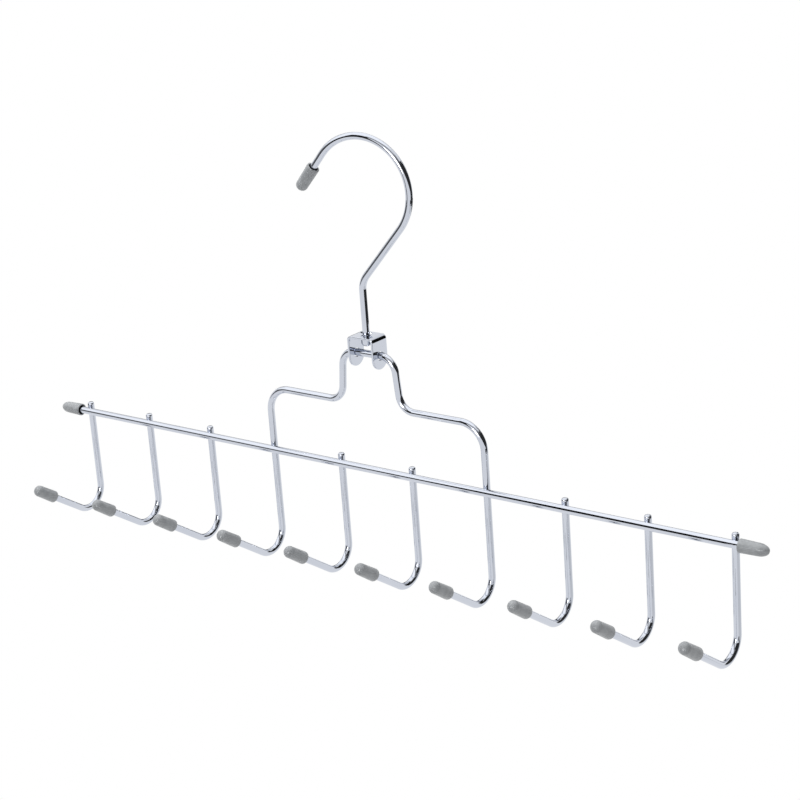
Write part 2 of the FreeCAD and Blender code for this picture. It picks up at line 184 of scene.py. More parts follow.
class HangerSwivel(bpy.types.PropertyGroup):
    """Sizes of the swivel hook and the clip."""
    swivel_wire: length("Hook wire", "Diameter of the swivel hook", 3.2)
    turn: angle("Turn", "Turn of the hook in the clip", 6.6)
    loop_bend: length("Loop", "Radius of the loop on the wire's axis", 23.8)
    loop_offset: length("Loop offset", "Centre of the loop to the right of the swivel axis", 3.0)
    lean: angle("Lean", "Angle of the straight below the loop from the vertical", 40.6)
    lean_bend: length("Lean bend", "Bend radius between the straight and the shank", 10.4)
    tail_lean: angle("Tail lean", "Angle of the free end from the vertical", 39.2)
    tail_bare: length("Bare tail", "Straight free end, from the loop to its cap", 7.6)
    lug_span: length("Lugs", "Width over the two lugs pinched out of the shank", 5.8)
    lug_height: length("Lug height", "Height of a lug where it leaves the shank", 1.7)
    lug_thickness: length("Lug thickness", "Thickness of a lug", 1.2)
    lug_tip: length("Lug tip", "Height of a lug's blunt tip", 0.5)
    head_width: length("Head", "Diameter of the upset head under the clip", 4.8)
    head_height: length("Head height", "Height of that head", 3.8)
    head_round: length("Head rounding", "Corner radius round the bottom of that head", 1.7)
    end_play: length("End play", "Gap between the clip and the lugs or the head", 0.15)
    clip_bend: length("Clip bend", "Outer bend radius of the clip", 1.9)
    sheet: length("Sheet", "Thickness of the clip", 1.0)
    ear_hole: length("Ear hole", "Diameter of the holes that the yoke turns in", 3.9)
    shank_hole: length("Shank hole", "Diameter of the hole that the hook turns in", 3.7)
    sheared_edge: length("Sheared edge", "Rounding along the clip's cut edges", 0.25)


class HangerCaps(bpy.types.PropertyGroup):
    """Sizes of the vinyl caps."""
    width: length("Width", "Diameter of a cap at its mouth", 5.8)
    tip_width: length("Tip width", "Diameter of a cap where its round tip begins", 5.4)
    length: length("Length", "Length of a cap", 12.8)
    end: length("End", "Thickness of the closed end", 2.0)
    tip_round: length("Tip rounding", "Corner radius at the tip", 2.3)
    bar_tip: length("Crossbar tip", "Length of the longer round tip on the crossbar's caps", 4.6)
    rim: length("Rim", "Corner radius at the mouth", 0.25)
    flare: length("Flare", "Widening of the bore at the mouth", 0.55)
    flare_depth: length("Flare depth", "Depth of that widening", 2.0)
    bore_depth: length("Bore depth", "Part of the bore that is modelled", 3.0)
    play: length("Play", "Gap between a cap and its wire", 0.03)


class HangerFinish(bpy.types.PropertyGroup):
    """Colours of the finishes."""
    chrome: colour("Chrome", "Bright plating", "#cfd3dc")
    chrome_deep: colour("Chrome, deep", "Plating where it is a little thinner", "#c4c9d4")
    vinyl: colour("Vinyl", "Skin of the caps", "#9c9fa2")
    vinyl_deep: colour("Vinyl, deep", "Mottling in the caps", "#8a8d90")
    # Painted shade: this near black stands in for the shade deep inside a cap, not for a colour of the vinyl
    vinyl_painted_bore_shade: colour("Vinyl, bore", "Inside of the caps", "#1d1e20")


class HangerStage(bpy.types.PropertyGroup):
    """Camera and floor."""
    azimuth: angle("Azimuth", "Camera to the right of the front", 40.16)
    elevation: angle("Elevation", "Camera above the horizontal", 18.73)
    roll: angle("Roll", "Tilt of the camera about its own axis", -4.575)
    distance: length("Distance", "Camera from the crossbar", 958.1)
    aim_right: bpy.props.FloatProperty(name="Aim right", description="Aim from the crossbar's middle, across the frame",
                                       default=-3.5 * MM, precision=5, subtype="DISTANCE", unit="LENGTH")
    aim_up: length("Aim up", "Aim from the crossbar's middle, up the frame", 24.9)
    lens: bpy.props.FloatProperty(name="Lens", description=f"Focal length on a {SENSOR} mm sensor", default=97.6,
                                  subtype="DISTANCE_CAMERA", unit="CAMERA")
    shift_right: bpy.props.FloatProperty(name="Shift right", description="Shift of the lens, in frame widths",
                                         default=0.0443, precision=4)
    shift_up: bpy.props.FloatProperty(name="Shift up", description="Rise of the lens, in frame widths",
                                      default=0.0166, precision=4)
    floor_drop: length("Floor", "Floor below the rail", 750)


def deselect():
    """Leave nothing selected, so that an operator acts only on the new piece."""
    bpy.ops.object.select_all(action="DESELECT")


def add_ring(place, along, radius, sides):
    """Add an open circle across a direction, with its place in its mesh, and open it for editing."""
    deselect()
    bpy.ops.mesh.primitive_circle_add(vertices=sides, radius=radius, location=place,
                                      rotation=along.to_track_quat("Z", "Y").to_euler())
    bpy.ops.object.transform_apply(location=True, rotation=True, scale=True)
    bpy.ops.object.mode_set(mode="EDIT")
    bpy.ops.mesh.select_all(action="SELECT")
    return bpy.context.object


def close_piece(piece, name):
    """Merge doubles, turn the faces outwards, leave edit mode and shade the piece."""
    bpy.ops.mesh.select_all(action="SELECT")
    bpy.ops.mesh.remove_doubles(threshold=MERGE_GAP)
    bpy.ops.mesh.normals_make_consistent(inside=False)
    bpy.ops.object.mode_set(mode="OBJECT")
    bpy.ops.object.shade_smooth_by_angle(angle=SMOOTH_ANGLE)
    piece.name = name
    return piece


def draw_wire(name, start, ahead, steps, diameter):
    """Model a round wire as it is bent: straight runs (length,) and turns (radius, angle, axis), ends closed."""
    wire = bpy.context.scene.hanger_wire
    point, ahead = start.copy(), ahead.copy()
    piece = add_ring(point, ahead, diameter / 2, wire.sides)
    for step in steps:
        if len(step) == 1:
            # A ring near each end keeps the middle of a run true to shade
            for part in (wire.hold, step[0] - 2 * wire.hold, wire.hold):
                bpy.ops.mesh.extrude_region_move(TRANSFORM_OT_translate={"value": ahead * part})
            point += ahead * step[0]
        else:
            radius, sweep, axis = step
            centre = point + axis.cross(ahead) * radius
            # Spin turns clockwise about its axis, so the axis is given the other way round
            bpy.ops.mesh.spin(steps=max(2, round(sweep / wire.bend_step)), angle=sweep, center=centre, axis=-axis)
            turn = Matrix.Rotation(sweep, 3, axis)
            point = centre + turn @ (point - centre)
            ahead = turn @ ahead
    bpy.ops.mesh.select_all(action="SELECT")
    bpy.ops.mesh.fill_holes(sides=0)
    bpy.ops.mesh.select_all(action="DESELECT")
    # Only the two cut ends have more than four sides
    bpy.ops.mesh.select_face_by_sides(number=4, type="GREATER")
    bpy.ops.mesh.bevel(offset=wire.cut_round, segments=CUT_STEPS, affect="EDGES")
    return close_piece(piece, name)


def turn_rings(name, base, along, rings, sides):
    """Model a round piece from rings (height, radius) along an axis, closed by a pole at the last one."""
    height, radius = rings[0]
    piece = add_ring(base + along * height, along, radius, sides)
    for next_height, next_radius in rings[1:]:
        bpy.ops.mesh.extrude_region_move(TRANSFORM_OT_translate={"value": along * (next_height - height)})
        ratio = next_radius / radius
        bpy.ops.transform.resize(value=(ratio, ratio, ratio), center_override=base + along * next_height)
        height, radius = next_height, next_radius
    bpy.ops.mesh.edge_face_add()
    bpy.ops.mesh.poke()
    return close_piece(piece, name)


def copy_piece(piece, name, shift):
    """Copy a piece with its own mesh, its new place in that mesh."""
    deselect()
    piece.select_set(True)
    bpy.context.view_layer.objects.active = piece
    bpy.ops.object.duplicate_move(OBJECT_OT_duplicate={"linked": False}, TRANSFORM_OT_translate={"value": shift})
    copy = bpy.context.object
    bpy.ops.object.transform_apply(location=True, rotation=True, scale=True)
    copy.name = name
    return copy


def join(pieces, name):
    """Join pieces into the first one."""
    deselect()
    for piece in pieces:
        piece.select_set(True)
    bpy.context.view_layer.objects.active = pieces[0]
    bpy.ops.object.join()
    pieces[0].name = name
    return pieces[0]


def dress(piece, body, node, finish):
    """Set a finished piece on its body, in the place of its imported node, with its finish."""
    piece.data.materials.clear()
    piece.data.materials.append(material_of(*FINISHES[finish]))
    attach(piece, body)
    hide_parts(node)


def add_node(tree, kind, settings=None, values=None, links=None):
    """Add a node with its settings, its socket values and the outputs linked to its sockets."""
    item = tree.nodes.new(kind)
    for key, value in (settings or {}).items():
        setattr(item, key, value)
    for key, value in (values or {}).items():
        item.inputs[key].default_value = value
    for key, source in (links or {}).items():
        tree.links.new(source, item.inputs[key])
    return item


def material_of(name, lay_nodes):
    """The material of a name, its nodes laid the first time that it is asked for."""
    material = bpy.data.materials.get(name)
    if material is None:
        material = bpy.data.materials.new(name)
        material.use_nodes = True
        material.node_tree.nodes.clear()
        lay_nodes(material.node_tree)
    return material


def bright_chrome(tree):
    """Bright chrome over nickel, plated on drawn steel wire."""
    # Mirror bright; slow ripples from drawing and bending, a breath of haze, slightly blue
    finish = bpy.context.scene.hanger_finish
    place = add_node(tree, "ShaderNodeTexCoord").outputs["Object"]
    # Ripples about 5 mm long, drawn a little deeper than plating leaves them so that they show
    ripple = add_node(tree, "ShaderNodeTexNoise", values={"Scale": 1 / (5 * MM), "Detail": 2.0, "Roughness": 0.5},
                      links={"Vector": place})
    bump = add_node(tree, "ShaderNodeBump", values={"Strength": 0.2, "Distance": 0.03 * MM},
                    links={"Height": ripple.outputs["Fac"]})
    # Haze in patches of about 1.5 mm
    haze = add_node(tree, "ShaderNodeTexNoise", values={"Scale": 1 / (1.5 * MM), "Detail": 4.0, "Roughness": 0.6},
                    links={"Vector": place})
    rough = add_node(tree, "ShaderNodeMapRange",
                     values={"From Min": 0.3, "From Max": 0.7, "To Min": 0.03, "To Max": 0.07},
                     links={"Value": haze.outputs["Fac"]})
    # Plating thickness drifts over about 20 mm
    drift = add_node(tree, "ShaderNodeTexNoise", values={"Scale": 1 / (20 * MM), "Detail": 1.0},
                     links={"Vector": place})
    tint = add_node(tree, "ShaderNodeMix", settings={"data_type": "RGBA"},
                    values={COLOUR_A: (*finish.chrome_deep, 1), COLOUR_B: (*finish.chrome, 1)},
                    links={SHARE: drift.outputs["Fac"]})
    shader = add_node(tree, "ShaderNodeBsdfPrincipled", values={"Metallic": 1.0},
                      links={"Base Color": tint.outputs[MIXED], "Roughness": rough.outputs["Result"],
                             "Normal": bump.outputs["Normal"]})
    add_node(tree, "ShaderNodeOutputMaterial", links={"Surface": shader.outputs["BSDF"]})


def grey_vinyl(tree):
    """Plasticised PVC, dip moulded."""
    # Satin skin with faint mottling and fine pits, and painted shade that darkens the inside of the bore
    finish = bpy.context.scene.hanger_finish
    place = add_node(tree, "ShaderNodeTexCoord").outputs["Object"]
    # Mottling in patches of about 2.5 mm
    mottle = add_node(tree, "ShaderNodeTexNoise", values={"Scale": 1 / (2.5 * MM), "Detail": 3.0, "Roughness": 0.55},
                      links={"Vector": place})
    spread = add_node(tree, "ShaderNodeMapRange", values={"From Min": 0.3, "From Max": 0.7},
                      links={"Value": mottle.outputs["Fac"]})
    skin = add_node(tree, "ShaderNodeMix", settings={"data_type": "RGBA"},
                    values={COLOUR_A: (*finish.vinyl_deep, 1), COLOUR_B: (*finish.vinyl, 1)},
                    links={SHARE: spread.outputs["Result"]})
    # Painted shade: faces inside a cap's bore, marked in its mesh, are drawn near black in place of the shade that
    # falls there
    bore = add_node(tree, "ShaderNodeAttribute", settings={"attribute_name": "bore"})
    tint = add_node(tree, "ShaderNodeMix", settings={"data_type": "RGBA"},
                    values={COLOUR_B: (*finish.vinyl_painted_bore_shade, 1)},
                    links={SHARE: bore.outputs["Fac"], COLOUR_A: skin.outputs[MIXED]})
    # Pits of about 0.35 mm, a little coarser than real ones so that they show
    pits = add_node(tree, "ShaderNodeTexNoise", values={"Scale": 1 / (0.35 * MM), "Detail": 2.0, "Roughness": 0.5},
                    links={"Vector": place})
    bump = add_node(tree, "ShaderNodeBump", values={"Strength": 0.3, "Distance": 0.03 * MM},
                    links={"Height": pits.outputs["Fac"]})
    rough = add_node(tree, "ShaderNodeMapRange", values={"To Min": 0.26, "To Max": 0.4},
                     links={"Value": pits.outputs["Fac"]})
    shader = add_node(tree, "ShaderNodeBsdfPrincipled", values={"IOR": 1.53},
                      links={"Base Color": tint.outputs[MIXED], "Roughness": rough.outputs["Result"],
                             "Normal": bump.outputs["Normal"]})
    add_node(tree, "ShaderNodeOutputMaterial", links={"Surface": shader.outputs["BSDF"]})


# Each slot's material
FINISHES = {
    "chrome": ("bright_chrome_plated_steel", bright_chrome),
    "vinyl": ("grey_dip_moulded_vinyl", grey_vinyl),
}


class HANGER_OT_crossbar(bpy.types.Operator):
    """Model the straight crossbar"""
    bl_idname = "hanger.crossbar"
    bl_label = "Crossbar"

    def execute(self, context):
        wire = context.scene.hanger_wire
        low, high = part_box("crossbar")
        start = box_centre("crossbar")
        # The front is whole along the bar, so its axis is found from there
        start.x, start.y = low.x, low.y + wire.bar_wire / 2
        bar = draw_wire("plated_crossbar", start, X, ((high.x - low.x,),), wire.bar_wire)
        dress(bar, "hanger", "crossbar", "chrome")
        return {"FINISHED"}


class HANGER_OT_scarf_hooks(bpy.types.Operator):
    """Model one J-shaped scarf hook and copy it along the crossbar"""
    bl_idname = "hanger.scarf_hooks"
    bl_label = "Scarf hooks"

    def execute(self, context):
        wire = context.scene.hanger_wire
        source = None
        for place in HOOK_PLACES:
            node = f"scarf_hook_{place}"
            low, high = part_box(node)
            top = Vector(((low.x + high.x) / 2, high.y - wire.hook_wire / 2, high.z))
            if source is None:
                steps = hook_steps(wire.stub_rise + wire.hook_drop - wire.hook_bend)
                hook = source = draw_wire("plated_hook_1", top, -Z, steps, wire.hook_wire)
                first = top
            else:
                hook = copy_piece(source, f"plated_hook_{place}", top - first)
            dress(hook, "hanger", node, "chrome")
        return {"FINISHED"}


def hook_steps(upright):
    """Upright, bend and arm of a scarf hook, going down."""
    wire = bpy.context.scene.hanger_wire
    return (upright,), (wire.hook_bend, QUARTER + wire.arm_rise, -X), (wire.arm_bare + capped(),)


def capped():
    """Length of wire inside a cap."""
    caps = bpy.context.scene.hanger_caps
    return caps.length - caps.end - caps.play


class HANGER_OT_yoke(bpy.types.Operator):
    """Model the yoke, one wire from scarf hook to scarf hook"""
    bl_idname = "hanger.yoke"
    bl_label = "Yoke"

    def execute(self, context):
        wire = context.scene.hanger_wire
        low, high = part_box("yoke")
        half_span = (high.x - low.x - wire.hook_wire) / 2
        pivot = joint_place("yoke_tilt")
        # Lengths that are left between the bends, from the heights, the splay and the spacing of the necks
        across, along = math.sin(wire.neck_splay), math.cos(wire.neck_splay)
        turned = QUARTER - wire.neck_splay
        bends = wire.neck_bend + wire.top_bend
        neck = (wire.yoke_height - wire.shoulder_height - bends * (1 - across)) / along
        top_half = wire.neck_width / 2 - wire.top_bend * along - neck / 2 * across
        run_in = half_span - wire.shoulder_bend - bends * along - neck * across - top_half
        up = ((wire.hook_drop - wire.hook_bend + wire.shoulder_height - wire.shoulder_bend,),
              (wire.shoulder_bend, QUARTER, Y), (run_in,), (wire.neck_bend, turned, -Y), (neck,),
              (wire.top_bend, turned, Y), (2 * top_half,))
        down = ((wire.top_bend, turned, Y), (neck,), (wire.neck_bend, turned, -Y), (run_in,),
                (wire.shoulder_bend, QUARTER, Y))
        last = hook_steps(up[0][0])
        # The wire is bent on from the left arm's tip, so the left hook runs backwards
        tip_turn = QUARTER + wire.arm_rise
        swing = Matrix.Rotation(tip_turn, 3, -X)
        bend_foot = pivot + Vector((-half_span, 0, -wire.yoke_height - wire.hook_drop + wire.hook_bend))
        centre = bend_foot - Y * wire.hook_bend
        arm_foot = centre + swing @ (bend_foot - centre)
        arm = swing @ -Z
        reach = wire.arm_bare + capped()
        first = ((reach,), (wire.hook_bend, tip_turn, X))
        yoke = draw_wire("plated_yoke", arm_foot + arm * reach, -arm, first + up + down + last, wire.hook_wire)
        dress(yoke, "hanger", "yoke", "chrome")
        return {"FINISHED"}


class HANGER_OT_clip(bpy.types.Operator):
    """Model the stamped clip: a strip bent to a U with a hole in its top and in each ear"""
    bl_idname = "hanger.clip"
    bl_label = "Clip"

    def execute(self, context):
        swivel = context.scene.hanger_swivel
        low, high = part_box("swivel_bracket")
        pivot = joint_place("yoke_tilt")
        half_depth = (high.y - low.y) / 2
        half_plate = (high.x - low.x) / 2 - swivel.clip_bend
        # Top plate: a ring round the shank hole, drawn out to a rectangle
        top = Vector((pivot.x, pivot.y, high.z))
        clip = draw_out(top, Z, swivel.shank_hole / 2, plate_edge, half_plate, half_depth)
        # Bends: the plate's two side edges, spun a quarter turn
        bpy.ops.object.mode_set(mode="EDIT")
        for side in (1, -1):
            select_where(clip, lambda co: abs(co.x - top.x - side * half_plate) < ON_EDGE)
            centre = top + Vector((side * half_plate, 0, -swivel.clip_bend))
            bpy.ops.mesh.spin(steps=BEND_STEPS, angle=QUARTER, center=centre, axis=-side * Y)
        bpy.ops.object.mode_set(mode="OBJECT")
        # Ears: a ring round each hole, drawn out to a flat top and a round end
        ear_top = high.z - swivel.clip_bend
        round_centre = low.z + half_depth
        ears = []
        for side in (1, -1):
            middle = Vector((top.x + side * (half_plate + swivel.clip_bend), pivot.y, pivot.z))
            ears.append(draw_out(middle, X, swivel.ear_hole / 2, ear_edge, half_depth, ear_top, round_centre))
        clip = join([clip] + ears, "stamped_clip")
        bpy.ops.object.mode_set(mode="EDIT")
        close_piece(clip, "stamped_clip")
        # Sheet thickness inwards, then the edges that the shears left, broken by tumbling
        wall = clip.modifiers.new("sheet", "SOLIDIFY")
        wall.thickness = swivel.sheet
        wall.offset = -1
        wall.use_even_offset = True
        edge = clip.modifiers.new("sheared_edge", "BEVEL")
        edge.width = swivel.sheared_edge
        edge.segments = EDGE_STEPS
        edge.limit_method = "ANGLE"
        edge.angle_limit = math.radians(50)
        flat = clip.modifiers.new("flat_faces", "WEIGHTED_NORMAL")
        flat.keep_sharp = True
        for name in ("sheet", "sheared_edge", "flat_faces"):
            bpy.ops.object.modifier_apply(modifier=name)
        dress(clip, "bracket", "swivel_bracket", "chrome")
        return {"FINISHED"}


def select_where(piece, test):
    """Select the vertices of a mesh in edit mode whose place passes a test."""
    bpy.ops.mesh.select_all(action="DESELECT")
    bpy.ops.object.mode_set(mode="OBJECT")
    for vertex in piece.data.vertices:
        vertex.select = test(vertex.co)
    bpy.ops.object.mode_set(mode="EDIT")


def draw_out(place, along, radius, edge, *sizes):
    """Add a ring round a hole of the clip and draw its outer edge out to where each spoke of the hole ends."""
    piece = add_ring(place, along, radius, CLIP_SIDES)
    bpy.ops.mesh.extrude_region_move(TRANSFORM_OT_translate={"value": (0, 0, 0)})
    bpy.ops.object.mode_set(mode="OBJECT")
    for vertex in piece.data.vertices:
        if vertex.select:
            vertex.co = edge(vertex.co - place, place, *sizes)
    return piece


def plate_edge(spoke, middle, half_plate, half_depth):
    """End of one spoke of the shank hole, on the rectangle of the top plate."""
    square = max(abs(spoke.x), abs(spoke.y))
    return middle + Vector((spoke.x / square * half_plate, spoke.y / square * half_depth, 0))


def ear_edge(spoke, middle, half_depth, ear_top, round_centre):
    """End of one spoke of an ear's hole: a quarter of the spokes end on the flat top, the rest down the side."""
    turn = math.atan2(spoke.y, spoke.z)
    corner, slack = math.pi / 4, 1e-4
    if abs(turn) <= corner + slack:
        return Vector((middle.x, middle.y + half_depth * math.tan(turn), ear_top))
    side = math.copysign(half_depth, turn)
    straight = ear_top - round_centre
    way = (abs(turn) - corner) / (math.pi * 3 / 4) * (straight + half_depth * QUARTER)
    if way <= straight:
        return Vector((middle.x, middle.y + side, ear_top - way))
    bend = (way - straight) / half_depth
    return Vector((middle.x, middle.y + side * math.cos(bend), round_centre - half_depth * math.sin(bend)))


class HANGER_OT_swivel_hook(bpy.types.Operator):
    """Model the question-mark hook with its pinched lugs and its upset head"""
    bl_idname = "hanger.swivel_hook"
    bl_label = "Swivel hook"

    def execute(self, context):
        wire, swivel = context.scene.hanger_wire, context.scene.hanger_swivel
        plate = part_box("swivel_bracket")[1].z
        turn = Matrix.Rotation(swivel.turn, 3, "Z")
        axis = turn @ Y
        bends = swivel.loop_bend + swivel.lean_bend
        straight = (swivel.loop_offset - swivel.lean_bend + bends * math.cos(swivel.lean)) / math.sin(swivel.lean)
        shank_top = -loop_drop(swivel) - straight * math.cos(swivel.lean) - bends * math.sin(swivel.lean)
        under = plate - swivel.sheet - swivel.end_play
        foot = Vector((0, 0, under - swivel.head_height / 2))
        steps = ((shank_top - foot.z,), (swivel.lean_bend, swivel.lean, axis), (straight,),
                 (swivel.loop_bend, math.pi + swivel.lean - swivel.tail_lean, -axis), (swivel.tail_bare + capped(),))
        hook = draw_wire("hook_wire", foot, Z, steps, swivel.swivel_wire)
        lugs = [pinch_lug(turn, side, plate + swivel.end_play) for side in (1, -1)]
        # The head starts inside the wire and runs down to a rounded foot
        radius, low = swivel.head_width / 2, under - swivel.head_height
        rings = [(under, swivel.swivel_wire / 3), (under, radius - HEAD_EDGE), (under - HEAD_EDGE, radius)]
        for step in range(HEAD_STEPS + 1):
            bend = QUARTER * step / HEAD_STEPS
            rings.append((low + swivel.head_round * (1 - math.sin(bend)),
                          radius - swivel.head_round * (1 - math.cos(bend))))
        head = turn_rings("head", Vector(), Z, rings, wire.sides)
        hook = join([hook, head] + lugs, "plated_swivel_hook")
        dress(hook, "hook", "swivel_hook", "chrome")
        return {"FINISHED"}


def loop_drop(swivel):
    """Centre of the loop below the rail, which the loop's inside touches above the shank."""
    inner = swivel.loop_bend - swivel.swivel_wire / 2
    return math.sqrt(inner ** 2 - swivel.loop_offset ** 2)


def pinch_lug(turn, side, foot):
    """Model one lug, a block that leaves the shank and narrows to a blunt tip."""
    swivel = bpy.context.scene.hanger_swivel
    root, reach = LUG_ROOT * swivel.swivel_wire, swivel.lug_span / 2
    deselect()
    bpy.ops.mesh.primitive_cube_add(size=1, location=(side * (root + reach) / 2, 0, foot + swivel.lug_height / 2))
    lug = bpy.context.object
    lug.scale = (reach - root, swivel.lug_thickness, swivel.lug_height)
    bpy.ops.object.transform_apply(location=True, rotation=True, scale=True)
    bpy.ops.object.mode_set(mode="EDIT")
    select_where(lug, lambda co: abs(co.x) > (root + reach) / 2)
    bpy.ops.transform.resize(value=(1, LUG_TIP_WIDTH, swivel.lug_tip / swivel.lug_height))
    select_where(lug, lambda co: co.z > foot + swivel.lug_height / 2)
    bpy.ops.transform.resize(value=(1, LUG_TOP_WIDTH, 1))
    bpy.ops.mesh.select_all(action="SELECT")
    bpy.ops.mesh.bevel(offset=LUG_EDGE * swivel.lug_thickness, segments=EDGE_STEPS, affect="EDGES")
    close_piece(lug, "lug")
    lug.rotation_euler = turn.to_euler()
    bpy.ops.object.transform_apply(location=True, rotation=True, scale=True)
    return lug


def cap_rings(wire_width, tip_length):
    """Rings of a vinyl cap, from inside its bore, over its rim and along its side to its round tip."""
    caps = bpy.context.scene.hanger_caps
    bore, mouth, tip, height = wire_width / 2 + caps.play, caps.width / 2, caps.tip_width / 2, caps.length
    rings = [(caps.bore_depth, bore), (caps.flare_depth, bore),
             (KNEE_DEPTH * caps.flare_depth, bore + KNEE_WIDTH * caps.flare), (0, bore + caps.flare)]
    for step in range(1, RIM_STEPS + 1):
        turn = QUARTER * step / RIM_STEPS
        rings.append((caps.rim * (1 - math.cos(turn)), mouth - caps.rim * (1 - math.sin(turn))))
    side = height - tip_length
    for share in SIDE_RINGS:
        rings.append((caps.rim + (side - caps.rim) * share, mouth + (tip - mouth) * share))
    for step in range(TIP_STEPS + 1):
        turn = QUARTER * step / TIP_STEPS
        rings.append((side + tip_length * math.sin(turn), tip - caps.tip_round * (1 - math.cos(turn))))
    rings.append((height, (tip - caps.tip_round) / 2))
    return rings


def turn_cap(name, mouth, along, wire_width, tip_length):
    """Model a vinyl cap, and flag the faces inside its bore for a painted shade by a face attribute."""
    caps = bpy.context.scene.hanger_caps
    cap = turn_rings(name, mouth, along, cap_rings(wire_width, tip_length), CAP_SIDES)
    # Painted shade: faces inside the bore get 1, and the vinyl draws them near black
    painted_shade_mark = cap.data.attributes.new("bore", "FLOAT", "FACE")
    for face in cap.data.polygons:
        spoke = face.center - mouth
        depth = spoke.dot(along)
        inside = (spoke - along * depth).length < wire_width / 2 + caps.play + caps.flare
        painted_shade_mark.data[face.index].value = inside and depth < caps.bore_depth
    return cap


class HANGER_OT_bar_caps(bpy.types.Operator):
    """Model the caps on the two ends of the crossbar"""
    bl_idname = "hanger.bar_caps"
    bl_label = "Crossbar caps"

    def execute(self, context):
        wire, caps = context.scene.hanger_wire, context.scene.hanger_caps
        for node, along in (("bar_cap_left", -X), ("bar_cap_right", X)):
            mouth = box_centre(node) - along * box_size(node).x / 2
            cap = turn_cap(f"vinyl_{node}", mouth, along, wire.bar_wire, caps.bar_tip)
            dress(cap, "hanger", node, "vinyl")
        return {"FINISHED"}


class HANGER_OT_hook_caps(bpy.types.Operator):
    """Model one cap on a scarf hook's tip and copy it along the row"""
    bl_idname = "hanger.hook_caps"
    bl_label = "Scarf hook caps"

    def execute(self, context):
        wire, caps = context.scene.hanger_wire, context.scene.hanger_caps
        along = Vector((0, -math.cos(wire.arm_rise), math.sin(wire.arm_rise)))
        source = None
        for place in CAP_PLACES:
            node = f"hook_cap_{place}"
            centre = box_centre(node)
            if source is None:
                cap = source = turn_cap("vinyl_tip_1", cap_mouth(node, along), along, wire.hook_wire, caps.tip_round)
                first = centre
            else:
                cap = copy_piece(source, f"vinyl_tip_{place}", centre - first)
            dress(cap, "hanger", node, "vinyl")
        return {"FINISHED"}


def cap_mouth(node, along):
    """Middle of a slanting cap's mouth, from the low back corner of its packed box."""
    caps = bpy.context.scene.hanger_caps
    low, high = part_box(node)
    face = caps.width / 2 - caps.rim
    back = high.y - face * along.z - caps.rim
    foot = low.z + face * -along.y + caps.rim
    middle = Vector(((low.x + high.x) / 2, back, foot))
    return middle - along * caps.rim


class HANGER_OT_swivel_cap(bpy.types.Operator):
    """Model the cap on the swivel hook's free end"""
    bl_idname = "hanger.swivel_cap"
    bl_label = "Swivel hook cap"

    def execute(self, context):
        swivel = context.scene.hanger_swivel
        turn = Matrix.Rotation(swivel.turn, 3, "Z")
        tail, bare = swivel.tail_lean, swivel.tail_bare
        across = swivel.loop_offset - swivel.loop_bend * math.cos(tail) - bare * math.sin(tail)
        height = swivel.loop_bend * math.sin(tail) - bare * math.cos(tail) - loop_drop(swivel)
        along = turn @ Vector((-math.sin(tail), 0, -math.cos(tail)))
        cap = turn_cap("vinyl_swivel_tip", turn @ Vector((across, 0, height)), along, swivel.swivel_wire,
                       context.scene.hanger_caps.tip_round)
        dress(cap, "hook", "swivel_hook_cap", "vinyl")
        return {"FINISHED"}


class HANGER_OT_stage(bpy.types.Operator):
    """Set up the floor, the light, the cards that the plating mirrors and the camera"""
    bl_idname = "hanger.stage"
    bl_label = "Stage"

    def execute(self, context):
        stage = context.scene.hanger_stage
        light_world(context.scene)
        lay_floor(stage.floor_drop)
        hang_lamps()
        stand_cards()
        aim_camera(context.scene, stage)
        context.scene.view_settings.view_transform = "Standard"
        return {"FINISHED"}


def seen_directly(tree):
    """1 for rays that show the background as it is: from the camera, mirrored or through glass."""
    path = add_node(tree, "ShaderNodeLightPath")
    mirrored = add_node(tree, "ShaderNodeMath", settings={"operation": "ADD"},
                        links={0: path.outputs["Is Camera Ray"], 1: path.outputs["Is Glossy Ray"]})
    seen = add_node(tree, "ShaderNodeMath", settings={"operation": "ADD", "use_clamp": True},
                    links={0: mirrored.outputs[0], 1: path.outputs["Is Transmission Ray"]})
    return seen.outputs[0]


def light_world(scene):
    """A white room: full white where it is seen, softer where it lights."""
    world = bpy.data.worlds.new("white_room")
    scene.world = world
    world.use_nodes = True
    tree = world.node_tree
    tree.nodes.clear()
    soft = add_node(tree, "ShaderNodeBackground", values={"Color": (1, 1, 1, 1), "Strength": ROOM_LIGHT})
    white = add_node(tree, "ShaderNodeBackground", values={"Color": (1, 1, 1, 1), "Strength": SEEN_WHITE})
    mix = add_node(tree, "ShaderNodeMixShader",
                   links={0: seen_directly(tree), 1: soft.outputs[0], 2: white.outputs[0]})
    add_node(tree, "ShaderNodeOutputWorld", links={"Surface": mix.outputs[0]})


def lay_floor(drop):
    """A plain white floor well below the hanger."""
    deselect()
    bpy.ops.mesh.primitive_plane_add(size=FLOOR_SIZE, location=(0, 0, -drop))
    floor = bpy.context.object
    floor.name = "floor"
    floor.data.materials.append(material_of("white_floor", white_floor))


def white_floor(tree):
    """Pale paint where it is lit, full white where it is seen."""
    paint = add_node(tree, "ShaderNodeBsdfDiffuse", values={"Color": (FLOOR_GREY, FLOOR_GREY, FLOOR_GREY, 1)})
    white = add_node(tree, "ShaderNodeEmission", values={"Color": (1, 1, 1, 1), "Strength": SEEN_WHITE})
    mix = add_node(tree, "ShaderNodeMixShader",
                   links={0: seen_directly(tree), 1: paint.outputs[0], 2: white.outputs[0]})
    add_node(tree, "ShaderNodeOutputMaterial", links={"Surface": mix.outputs[0]})


def bearing(azimuth, elevation, distance):
    """Point at a level distance from the hanger, its azimuth counted from the front to the right, in degrees."""
    turn, rise = math.radians(azimuth), math.radians(elevation)
    return Vector((math.sin(turn), -math.cos(turn), math.tan(rise))) * distance + MIDDLE


def card_face(tree):
    """Flat light of the level that a card's object colour gives."""
    level = add_node(tree, "ShaderNodeObjectInfo").outputs["Color"]
    flat = add_node(tree, "ShaderNodeEmission", links={"Color": level})
    add_node(tree, "ShaderNodeOutputMaterial", links={"Surface": flat.outputs[0]})


